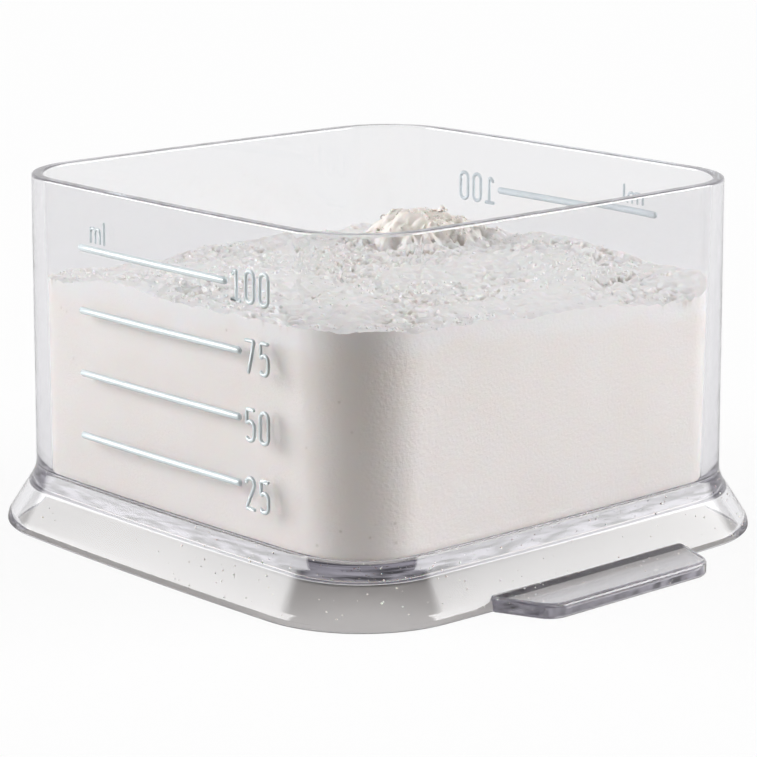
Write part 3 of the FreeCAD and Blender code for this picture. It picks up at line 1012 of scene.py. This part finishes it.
def pit_depth(here, patch):
    """Small pits where a clump has broken out; the material paints them in shade by their depth.
    """
    total = 0.0
    for scale, depth, share in PITS:
        spot = here * scale + noise.noise_vector(here * 1500) * 0.30
        distances, centres = noise.voronoi(spot)
        roll = chance(centres[0])
        if roll < share * patch:
            size = 0.20 + 0.9 * roll
            total += depth * (1 - smooth_step(0.35 * size, size, distances[0]))
    return total


def crack_depth(here, patch):
    """Fine cracks along the borders of large soft clumps."""
    spot = here * 230 + noise.noise_vector(here * 420) * 0.9
    near, far = noise.voronoi(spot)[0][:2]
    return CRACK_DEPTH * (1 - smooth_step(0.0, 0.07, far - near)) * patch


def top_point(x, y, edge_share):
    """Height of the top, how heaped it is, and its share of painted shade, deep in the pits and
    cracks and a little over the mound; edge_share is 1 at the wall.
    """
    here = Vector((x, y, 0.0))
    calm = 1 - EDGE_CALM * smooth_step(0.975, 1.0, edge_share)
    heap = mound_height(x, y)
    loose = smooth_step(LOOSE_FROM, LOOSE_FULL, heap)
    patch = smooth_step(-0.30, 0.20, noise.noise(here * 95 + Vector((3.1, 7.7, 0.0))))
    pit = pit_depth(here, max(patch, 0.5 * loose)) + crack_depth(here, patch)
    rough = SWELL * noise.fractal(here * 120, 1.0, 2.0, 4)
    rough += GRAIN * noise.fractal(here * 900, 0.9, 2.0, 4)
    rough += 0.55 * lump_height(here, max(patch, loose * 1.3))
    crumble = EDGE_CRUMBLE * noise.fractal(here * 480, 0.9, 2.0, 3)
    rough += crumble * smooth_step(0.95, 1, edge_share)
    height = slope_height(x, y) + heap + (rough - pit) * calm
    # The third value is painted shade: pit and crack depth, plus a little over the mound.
    return height, loose, min(pit * calm / (0.6 * MM) + 0.22 * loose, 1.0)


def powder_reach(z):
    return inner_face(z) - POWDER_GAP


print("top in the cup's middle:", round(slope_height(0, 0) / MM, 1), "mm")

# %% [markdown]
# The grid's cells are counted from the middle outwards. A point's ring is how far out it lies,
# and its place round the ring is the same share of the way round the outline, so the grid's
# corners land in the middle of the rounded corners and no cell is pinched.


# %% Build the powder load
POWDER_SHARP_ANGLE = math.radians(45)
FINE_SIDE, FINE_CORNER = 160, 80    # steps of the outline that the border is spread along
FOOT_TURNS = (30, 60, 90)           # degrees round the fillet at the powder's foot


def ring_share(u, v):
    """Share of the way round the outline for a grid point this far from the middle."""
    reach = max(abs(u), abs(v))
    if v == -reach:
        return (1 + u / reach) / 8
    if u == reach:
        return 0.25 + (1 + v / reach) / 8
    if v == reach:
        return 0.5 + (1 - u / reach) / 8
    return 0.75 + (1 - v / reach) / 8


def even_outline(offset, count):
    """Points evenly spaced along the outline, from the middle of the front left corner."""
    half_corner = FINE_CORNER // 2
    fine = outline(offset, FINE_SIDE, FINE_CORNER)
    fine = fine[-half_corner:] + fine[:-half_corner]
    steps = [math.dist(a, b) for a, b in zip(fine, fine[1:] + fine[:1])]
    total = sum(steps)
    places = np.concatenate([[0.0], np.cumsum(steps)]) / total
    xs = [p[0] for p in fine] + [fine[0][0]]
    ys = [p[1] for p in fine] + [fine[0][1]]
    wanted = np.arange(count) / count
    return list(zip(np.interp(wanted, places, xs), np.interp(wanted, places, ys)))


DUSTY_DEPTH = 3.0 * MM      # how far down the walls the loose, paler powder reaches


def mark_tones(mesh, looks):
    """Point attributes: dusty is 1 on the loose top and fades down the sides; pit is the share of
    painted shade, in the hollows and over the mound.
    """
    dusty = mesh.attributes.new("dusty", "FLOAT", "POINT")
    pit = mesh.attributes.new("pit", "FLOAT", "POINT")
    for index, (heaped, depth) in enumerate(looks):
        dusty.data[index].value = 1 - 0.8 * heaped
        pit.data[index].value = depth
    for vert in list(mesh.vertices)[len(looks):]:
        place = vert.co
        drop = slope_height(place.x, place.y) - place.z
        spot = Vector((place.x, place.y, place.z * 2)) * 160
        drop += DUSTY_DEPTH * 0.6 * noise.fractal(spot, 0.9, 2.0, 3)
        dusty.data[vert.index].value = 1 - smooth_step(0.3 * DUSTY_DEPTH, DUSTY_DEPTH, drop)


def add_top(work, cells):
    """The top's grid: its border vertices in order, and each point's heap share and share of
    painted pit shade.
    """
    count = 4 * cells
    outer = even_outline(powder_reach(BORDER_HEIGHT), count)
    grid = {}
    looks = []
    half = cells / 2
    for row in range(cells + 1):
        for column in range(cells + 1):
            u, v = column - half, row - half
            share = max(abs(u), abs(v)) / half
            x, y = 0.0, 0.0
            if share > 0:
                place = ring_share(u, v) * count
                first = int(place)
                part = place - first
                a, b = outer[first % count], outer[(first + 1) % count]
                x = (a[0] + (b[0] - a[0]) * part) * share
                y = (a[1] + (b[1] - a[1]) * part) * share
            height, heaped, depth = top_point(x, y, share)
            looks.append((heaped, depth))
            grid[column, row] = work.verts.new((x, y, height))
    for row in range(cells):
        for column in range(cells):
            work.faces.new((grid[column, row], grid[column + 1, row],
                            grid[column + 1, row + 1], grid[column, row + 1]))
    border = []
    for step in range(count):
        side, along = divmod(step, cells)
        border.append(grid[((along, 0), (cells, along), (cells - along, cells),
                            (0, cells - along))[side]])
    return border, looks


def add_ring(work, upper, places):
    """A ring of vertices at these places, joined to the ring above it."""
    lower = [work.verts.new(place) for place in places]
    for index in range(len(upper)):
        after = (index + 1) % len(upper)
        work.faces.new((upper[index], lower[index], lower[after], upper[after]))
    return lower


def moved_out(place, amount, z):
    """The place moved away from the cup's middle by this amount, at height z."""
    outwards = Vector((place.x, place.y, 0)).normalized()
    return place.x + outwards.x * amount, place.y + outwards.y * amount, z


def make_powder():
    work = bmesh.new()
    border, looks = add_top(work, TOP_CELLS)
    foot = POWDER_BASE + FLOOR_FILLET
    ring = border
    for level in range(1, SIDE_ROWS + 1):
        drop = level / SIDE_ROWS
        places = []
        for vert in border:
            z = foot + (vert.co.z - foot) * (1 - drop)
            wider = powder_reach(z) - powder_reach(BORDER_HEIGHT)
            places.append(moved_out(vert.co, wider, z))
        ring = add_ring(work, ring, places)
    base = ring
    for angle in FOOT_TURNS:
        turn = math.radians(angle)
        inset = FLOOR_FILLET * (1 - math.cos(turn))
        sunk = FLOOR_FILLET * math.sin(turn)
        ring = add_ring(work, ring, [moved_out(vert.co, -inset, vert.co.z - sunk)
                                     for vert in base])
    work.faces.new(ring)
    bmesh.ops.recalc_face_normals(work, faces=work.faces)
    piece = add_object("powder_heap", mesh_from(work, "powder_heap"))
    mark_tones(piece.data, looks)
    piece.data.materials.append(packed_powder)
    smooth_with_sharp_edges(piece, POWDER_SHARP_ANGLE)
    return piece


powder = make_powder()
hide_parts("powder")
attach(powder, "powder_load")
print("powder:", len(powder.data.polygons), "faces, open edges:", open_edge_count(powder))

# %% [markdown]
# Loose crumbs lie on the powder, more of them around the mound, and a little dust has fallen on
# the skirt and the tab. Thousands of grains by hand are out of the question, and a particle
# system keeps them out of the mesh. One Geometry Nodes tree scatters them: it drops points on
# the faces that look up, between two heights, sets a small uneven pebble on each, and presses
# it in a little. The seed is fixed, so the same crumbs fall every time.


# %% The scattering tree
def make_scatter_tree():
    tree, given, result = new_geometry_tree(
        "grains on surface",
        (("Density", "Float"), ("Smallest", "Float"), ("Largest", "Float"),
         ("Lowest Place", "Float"), ("Highest Place", "Float"), ("Steepest Up", "Float"),
         ("Patch Size", "Float"), ("Detail", "Int"), ("Seed", "Int"), ("Material", "Material")))
    place = add_node(tree, "GeometryNodeInputPosition")
    facing = add_node(tree, "GeometryNodeInputNormal")
    split_place = add_node(tree, "ShaderNodeSeparateXYZ")
    split_facing = add_node(tree, "ShaderNodeSeparateXYZ")
    join(tree, place, "Position", split_place, "Vector")
    join(tree, facing, "Normal", split_facing, "Vector")
    tests = []
    for source, limit, operation in ((split_place, "Lowest Place", "GREATER_THAN"),
                                     (split_place, "Highest Place", "LESS_THAN"),
                                     (split_facing, "Steepest Up", "GREATER_THAN")):
        test = add_node(tree, "FunctionNodeCompare",
                        {"data_type": "FLOAT", "operation": operation})
        join(tree, source, "Z", test, "A")
        join(tree, given, limit, test, "B")
        tests.append(test)
    both = add_node(tree, "FunctionNodeBooleanMath", {"operation": "AND"})
    all_three = add_node(tree, "FunctionNodeBooleanMath", {"operation": "AND"})
    tree.links.new(tests[0].outputs["Result"], both.inputs[0])
    tree.links.new(tests[1].outputs["Result"], both.inputs[1])
    tree.links.new(both.outputs["Boolean"], all_three.inputs[0])
    tree.links.new(tests[2].outputs["Result"], all_three.inputs[1])
    patches = add_node(tree, "ShaderNodeTexNoise", values={"Detail": 2.0})
    join(tree, place, "Position", patches, "Vector")
    join(tree, given, "Patch Size", patches, "Scale")
    thick = add_node(tree, "ShaderNodeMapRange", values={"From Min": 0.42, "From Max": 0.66})
    join(tree, patches, "Fac", thick, "Value")
    drop = add_node(tree, "GeometryNodeDistributePointsOnFaces",
                    {"distribute_method": "RANDOM"})
    amount = add_node(tree, "ShaderNodeMath", {"operation": "MULTIPLY"})
    join(tree, given, "Density", amount, 0)
    join(tree, thick, "Result", amount, 1)
    join(tree, given, "Geometry", drop, "Mesh")
    tree.links.new(all_three.outputs["Boolean"], drop.inputs["Selection"])
    join(tree, amount, "Value", drop, "Density")
    join(tree, given, "Seed", drop, "Seed")
    pebble = add_node(tree, "GeometryNodeMeshIcoSphere", values={"Radius": 0.5})
    join(tree, given, "Detail", pebble, "Subdivisions")
    size = add_node(tree, "FunctionNodeRandomValue", {"data_type": "FLOAT"})
    tree.links.new(given.outputs["Smallest"], size.inputs[2])
    tree.links.new(given.outputs["Largest"], size.inputs[3])
    join(tree, given, "Seed", size, "Seed")
    turn = add_node(tree, "FunctionNodeRandomValue", {"data_type": "FLOAT_VECTOR"},
                    {1: (math.tau, math.tau, math.tau)})
    join(tree, given, "Seed", turn, "Seed")
    stand = add_node(tree, "GeometryNodeInstanceOnPoints")
    join(tree, drop, "Points", stand, "Points")
    join(tree, pebble, "Mesh", stand, "Instance")
    tree.links.new(turn.outputs[0], stand.inputs["Rotation"])
    tree.links.new(size.outputs[1], stand.inputs["Scale"])
    solid = add_node(tree, "GeometryNodeRealizeInstances")
    join(tree, stand, "Instances", solid, "Geometry")
    uneven = add_node(tree, "ShaderNodeTexNoise", values={"Scale": 2600.0, "Detail": 1.0})
    centred = add_node(tree, "ShaderNodeVectorMath", {"operation": "SUBTRACT"},
                       {1: (0.5, 0.5, 0.5)})
    push = add_node(tree, "ShaderNodeVectorMath", {"operation": "SCALE"})
    join(tree, uneven, "Color", centred, 0)
    join(tree, centred, "Vector", push, 0)
    join(tree, given, "Largest", push, "Scale")
    dent = add_node(tree, "GeometryNodeSetPosition")
    join(tree, solid, "Geometry", dent, "Geometry")
    join(tree, push, "Vector", dent, "Offset")
    smooth = add_node(tree, "GeometryNodeSetShadeSmooth")
    join(tree, dent, "Geometry", smooth, "Geometry")
    end_tree(tree, given, result, smooth, "Geometry")
    return tree


scatter_tree = make_scatter_tree()
print("tree:", scatter_tree.name, "with", len(scatter_tree.nodes), "nodes")


# %% Crumbs on the powder and dust on the base
loose_powder = make_powder_material("loose powder", (0.93, 0.895, 0.86, 1),
                                    (0.91, 0.87, 0.83, 1), (0.95, 0.93, 0.91, 1), 0.4, 0.4)


def scatter(name, base, body, density, sizes, heights, steepest, patch, detail, seed):
    """Grains on a piece; sizes and heights are in millimetres, density is per square metre."""
    bed = add_object("bed", base.data.copy())
    grains = grow(bed, scatter_tree, name,
                  {"Density": density, "Smallest": sizes[0] * MM, "Largest": sizes[1] * MM,
                   "Lowest Place": heights[0] * MM, "Highest Place": heights[1] * MM,
                   "Steepest Up": steepest, "Patch Size": patch, "Detail": detail,
                   "Seed": seed, "Material": loose_powder})
    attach(grains, body)
    print(name, len(grains.data.polygons), "faces")


scatter("powder_crumbs", powder, "powder_load", density=1.5e6, sizes=(0.14, 0.50),
        heights=(27, 40), steepest=0.45, patch=60.0, detail=1, seed=3)
scatter("powder_clods", powder, "powder_load", density=4.0e4, sizes=(0.5, 1.2),
        heights=(31, 40), steepest=0.2, patch=90.0, detail=2, seed=8)
scatter("base_dust", cup, "compartment", density=5.0e5, sizes=(0.09, 0.26),
        heights=(0.5, 7.0), steepest=0.15, patch=70.0, detail=1, seed=5)

# %% [markdown]
# The studio: a wide pale floor, two large softboxes at the sides, a weak one behind, a soft
# light overhead, and a white backdrop. Lamp objects would do, but light that has to find its
# way through clear plastic stays cleaner when it comes from the world and the floor. Clear
# plastic shows its edges by what is dark around it, so nothing lights the cup from the camera's
# side. The floor there is dark in reflections and for the light it throws back, as with a dark
# card laid in front, while the camera sees it white, also through the plastic. Under the cup
# its shade is painted on the floor, with a thin painted contact shadow where the foot stands.

# %% Floor
FLOOR_RADIUS = 4.0
FLOOR_GAP = 0.06 * MM       # the foot stands on its highest points, so air stays under it
CARD_START = 50 * MM        # from the cup's middle towards the camera
CARD_FADE = 25 * MM
FOOT_HALF = HALF_WIDTH + skirt_edge
FOOT_CORNER = 13.5 * MM
SHADE_FADE = 5 * MM         # how far past the foot the shade dies away
# The painted contact shadow: a thin dark band on the floor just inside the foot's edge.
CONTACT_WIDTH = 1.4 * MM    # the dark line where the foot stands
CONTACT_EDGE = 0.06 * MM    # softness of that line's edges
FLOOR_PALE = (0.92, 0.92, 0.92, 1)
FLOOR_CARD = (0.19, 0.15, 0.095, 1)
FLOOR_SHADE = (0.64, 0.625, 0.60, 1)
FLOOR_CONTACT_SHADOW = (0.05, 0.05, 0.06, 1)
FLOOR_WHITE = 0.90          # how far the backdrop's white takes over for rays that show it
camera_side = Vector((math.sin(CAMERA_AZIMUTH), -math.cos(CAMERA_AZIMUTH), 0))


def distance_from_foot(tree, place):
    """How far a floor point lies outside the foot's rounded square; inside it is negative."""
    split = add_node(tree, "ShaderNodeSeparateXYZ")
    join(tree, place, "Object", split, "Vector")
    squares = []
    for axis in ("X", "Y"):
        past = add_math(tree, "SUBTRACT", add_math(tree, "ABSOLUTE", split.outputs[axis]),
                        FOOT_HALF - FOOT_CORNER)
        squares.append(add_math(tree, "POWER", add_math(tree, "MAXIMUM", past, 0.0), 2.0))
    reach = add_math(tree, "SQRT", add_math(tree, "ADD", *squares))
    return add_math(tree, "SUBTRACT", reach, FOOT_CORNER)


def lay_over(tree, below, amount, colour):
    """Lay a colour over a tone, which is a socket or a plain colour; returns a socket."""
    mixed = add_node(tree, "ShaderNodeMix", {"data_type": "RGBA"}, {7: colour})
    if isinstance(below, tuple):
        mixed.inputs[6].default_value = below
    else:
        tree.links.new(below, mixed.inputs[6])
    tree.links.new(amount, mixed.inputs[0])
    return mixed.outputs[2]


def make_floor_material():
    material, tree, shader, output = new_material("studio floor")
    set_values(shader, {"Roughness": 1.0, "Specular IOR Level": 0.0})
    place = add_node(tree, "ShaderNodeTexCoord")
    kind = add_node(tree, "ShaderNodeLightPath")
    by_camera = kind.outputs["Is Camera Ray"]
    by_plastic = kind.outputs["Is Transmission Ray"]
    forward = add_node(tree, "ShaderNodeVectorMath", {"operation": "DOT_PRODUCT"},
                       {1: camera_side})
    join(tree, place, "Object", forward, 0)
    in_front = add_edge(tree, forward.outputs["Value"], CARD_START, CARD_START + CARD_FADE)
    neither = add_math(tree, "SUBTRACT", 1.0, add_math(tree, "MAXIMUM", by_camera, by_plastic))
    card = add_math(tree, "MULTIPLY", in_front, neither)
    beyond = distance_from_foot(tree, place)
    away = add_edge(tree, beyond, 0.0, SHADE_FADE)
    unseen = add_math(tree, "SUBTRACT", 1.0, by_camera)
    shade = add_math(tree, "MULTIPLY", add_math(tree, "SUBTRACT", 1.0, away), unseen)
    # Painted contact shadow: a thin dark band just inside the foot's edge, for every ray but the
    # camera's.
    inside = add_edge(tree, beyond, -CONTACT_WIDTH - CONTACT_EDGE, -CONTACT_WIDTH)
    outside = add_edge(tree, beyond, 0.0, CONTACT_EDGE)
    contact_shadow = add_math(tree, "MULTIPLY", add_math(tree, "SUBTRACT", inside, outside), unseen)
    tone = FLOOR_PALE
    for amount, colour in ((card, FLOOR_CARD), (shade, FLOOR_SHADE), (contact_shadow, FLOOR_CONTACT_SHADOW)):
        tone = lay_over(tree, tone, amount, colour)
    tree.links.new(tone, shader.inputs["Base Color"])
    glow = add_node(tree, "ShaderNodeEmission", values={"Color": (1, 1, 1, 1), "Strength": 1.0})
    white = add_math(tree, "MAXIMUM", by_camera, add_math(tree, "MULTIPLY", by_plastic, away))
    blend = add_node(tree, "ShaderNodeMixShader")
    tree.links.new(add_math(tree, "MULTIPLY", white, FLOOR_WHITE), blend.inputs["Fac"])
    tree.links.new(shader.outputs["BSDF"], blend.inputs[1])
    tree.links.new(glow.outputs["Emission"], blend.inputs[2])
    join(tree, blend, "Shader", output, "Surface")
    return material


def make_floor():
    work = bmesh.new()
    bmesh.ops.create_circle(work, cap_ends=True, segments=96, radius=FLOOR_RADIUS)
    mesh = mesh_from(work, "studio floor")
    mesh.transform(Matrix.Translation((0, 0, -FLOOR_GAP)))
    mesh.materials.append(make_floor_material())
    return add_object("studio_floor", mesh)


floor = make_floor()
print("floor radius:", FLOOR_RADIUS, "m")

# %% [markdown]
# The light of the room is worked out from the direction alone. A softbox is a patch of the sky
# dome between two heights and two bearings, with a soft edge. The bearings are measured from
# the patch's own middle, so none of them meets the seam where bearings start again. Rays that
# show the backdrop see plain white instead: the camera's, those through the plastic, and
# reflections of what lies behind the cup.


# %% Light of the room
EDGE = math.radians(3)
SOFTBOXES = (               # bearing, half width, lowest, highest (degrees), brightness
    (-134, 25, 0, 33, 9.6),
    (50, 25, 0, 33, 10.2),
    (138, 42, -6, 20, 0.8),
)
OVERHEAD = (50, 0.62)        # from this height up, and its brightness
AMBIENT = 0.08
BEHIND_FROM, BEHIND_FULL = 0.2, 0.5     # cosines; how squarely a direction points behind the cup


def add_dot(tree, source, direction):
    node = add_node(tree, "ShaderNodeVectorMath", {"operation": "DOT_PRODUCT"}, {1: direction})
    join(tree, source, "Generated", node, 0)
    return node.outputs["Value"]


def add_softbox(tree, source, height, bearing, half_width, lowest, highest, brightness):
    angle = math.radians(bearing)
    along = add_dot(tree, source, (math.cos(angle), math.sin(angle), 0))
    across = add_dot(tree, source, (-math.sin(angle), math.cos(angle), 0))
    turn = add_math(tree, "ABSOLUTE", add_math(tree, "ARCTAN2", across, along))
    width = math.radians(half_width)
    outside = add_edge(tree, turn, width - EDGE, width + EDGE)
    inside = add_math(tree, "SUBTRACT", 1.0, outside)
    above = add_edge(tree, height, math.radians(lowest) - EDGE, math.radians(lowest) + EDGE)
    over = add_edge(tree, height, math.radians(highest) - EDGE, math.radians(highest) + EDGE)
    band = add_math(tree, "SUBTRACT", above, over)
    return add_math(tree, "MULTIPLY", add_math(tree, "MULTIPLY", inside, band), brightness)


def make_room():
    world = bpy.data.worlds.new("studio")
    scene.world = world
    world.use_nodes = True
    tree = world.node_tree
    tree.nodes.clear()
    source = add_node(tree, "ShaderNodeTexCoord")
    height = add_math(tree, "ARCSINE", add_dot(tree, source, (0, 0, 1)))
    total = AMBIENT
    for softbox in SOFTBOXES:
        total = add_math(tree, "ADD", add_softbox(tree, source, height, *softbox), total)
    overhead = add_edge(tree, height, math.radians(OVERHEAD[0]) - EDGE,
                        math.radians(OVERHEAD[0]) + EDGE)
    total = add_math(tree, "ADD", add_math(tree, "MULTIPLY", overhead, OVERHEAD[1]), total)
    light = add_node(tree, "ShaderNodeBackground")
    tree.links.new(total, light.inputs["Strength"])
    white = add_node(tree, "ShaderNodeBackground", values={"Color": (1, 1, 1, 1)})
    kind = add_node(tree, "ShaderNodeLightPath")
    behind = add_edge(tree, add_dot(tree, source, -camera_side), BEHIND_FROM, BEHIND_FULL)
    seen = add_math(tree, "MAXIMUM", kind.outputs["Is Camera Ray"],
                    kind.outputs["Is Transmission Ray"])
    shown = add_math(tree, "MAXIMUM", seen,
                     add_math(tree, "MULTIPLY", kind.outputs["Is Glossy Ray"], behind))
    blend = add_node(tree, "ShaderNodeMixShader")
    tree.links.new(shown, blend.inputs["Fac"])
    tree.links.new(light.outputs["Background"], blend.inputs[1])
    tree.links.new(white.outputs["Background"], blend.inputs[2])
    output = add_node(tree, "ShaderNodeOutputWorld")
    join(tree, blend, "Shader", output, "Surface")


make_room()
scene.view_settings.view_transform = "Standard"
print("softboxes:", len(SOFTBOXES))
